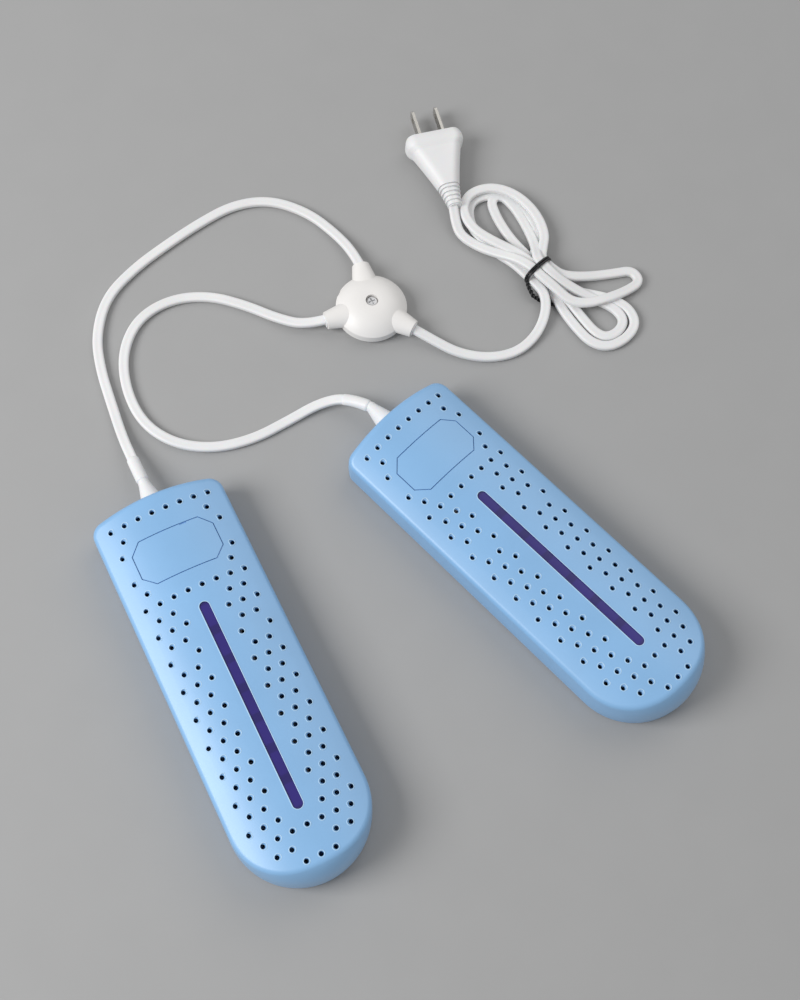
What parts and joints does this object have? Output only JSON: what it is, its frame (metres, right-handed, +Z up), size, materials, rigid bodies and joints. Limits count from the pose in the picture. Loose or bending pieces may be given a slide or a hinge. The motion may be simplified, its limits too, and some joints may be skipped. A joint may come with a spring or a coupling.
{
  "type": "boot dryer",
  "caption": "Pair of perforated heated inserts for drying boots, on short flat cords that join the mains cord and its plug at a small round box.",
  "frame": {"origin": "middle of the left insert's flat underside, on the surface that everything lies on", "axes": "+Z up; the left insert runs along Y with its rounded toe towards -Y and its cord leaving towards +Y; +X points from the left insert towards the right insert"},
  "size_m": [0.3108, 0.3449, 0.027],
  "materials": {
    "insert_blue": "satin moulded",
    "window_indigo": "dark translucent",
    "cord_white": "smooth flexible PVC",
    "box_white": "satin moulded",
    "nickel": "nickel plated",
    "screw_steel": "zinc plated",
    "heater_aluminium": "bare sheet and extrusion",
    "board_green": "solder mask",
    "led_ceramic": "ceramic package",
    "chip_ceramic": "sintered ceramic",
    "sleeve_film": "polyimide film",
    "brass": "stamped strip",
    "wire_grey": "silicone insulation",
    "crimp_clear": "nylon",
    "tie_black": "coated wire"
  },
  "bodies": {
    "cord_set": {"junction_base": "box_white", "junction_cover": "box_white", "junction_grommets": "cord_white", "junction_screw": "screw_steel", "junction_splice_caps": "crimp_clear", "left_cord": "cord_white", "main_hank": "cord_white", "main_lead": "cord_white", "main_tail": "cord_white", "plug_blades": "nickel", "plug_body": "cord_white", "right_cord": "cord_white", "twist_tie": "tie_black"},
    "left_insert": {"left_badge_plate": "insert_blue", "left_clamp_screws": "screw_steel", "left_cord_clamp": "box_white", "left_cord_stub": "cord_white", "left_crimp_sleeves": "crimp_clear", "left_electrodes": "brass", "left_fuse_clip": "heater_aluminium", "left_heat_plate": "heater_aluminium", "left_heater_screws": "screw_steel", "left_insulation_sleeve": "sleeve_film", "left_lead_wires": "wire_grey", "left_led_board": "board_green", "left_light_window": "window_indigo", "left_lower_shell": "insert_blue", "left_ptc_case": "heater_aluminium", "left_ptc_chips": "chip_ceramic", "left_shell_screws": "screw_steel", "left_strain_relief": "cord_white", "left_thermal_fuse": "nickel", "left_upper_shell": "insert_blue", "left_uv_leds": "led_ceramic"},
    "right_insert": {"right_badge_plate": "insert_blue", "right_clamp_screws": "screw_steel", "right_cord_clamp": "box_white", "right_cord_stub": "cord_white", "right_crimp_sleeves": "crimp_clear", "right_electrodes": "brass", "right_fuse_clip": "heater_aluminium", "right_heat_plate": "heater_aluminium", "right_heater_screws": "screw_steel", "right_insulation_sleeve": "sleeve_film", "right_lead_wires": "wire_grey", "right_led_board": "board_green", "right_light_window": "window_indigo", "right_lower_shell": "insert_blue", "right_ptc_case": "heater_aluminium", "right_ptc_chips": "chip_ceramic", "right_shell_screws": "screw_steel", "right_strain_relief": "cord_white", "right_thermal_fuse": "nickel", "right_upper_shell": "insert_blue", "right_uv_leds": "led_ceramic"}
  },
  "joints": [
    {"name": "left_insert_swing", "type": "hinge", "parent": "cord_set", "child": "left_insert", "pos_m": [0, 0.1088, 0.0085], "axis": [0, 0, 1], "range_deg": [-30, 15]},
    {"name": "right_insert_swing", "type": "hinge", "parent": "cord_set", "child": "right_insert", "pos_m": [0.11601, 0.09914, 0.0085], "axis": [0, 0, 1], "range_deg": [-15, 30]}
  ]
}
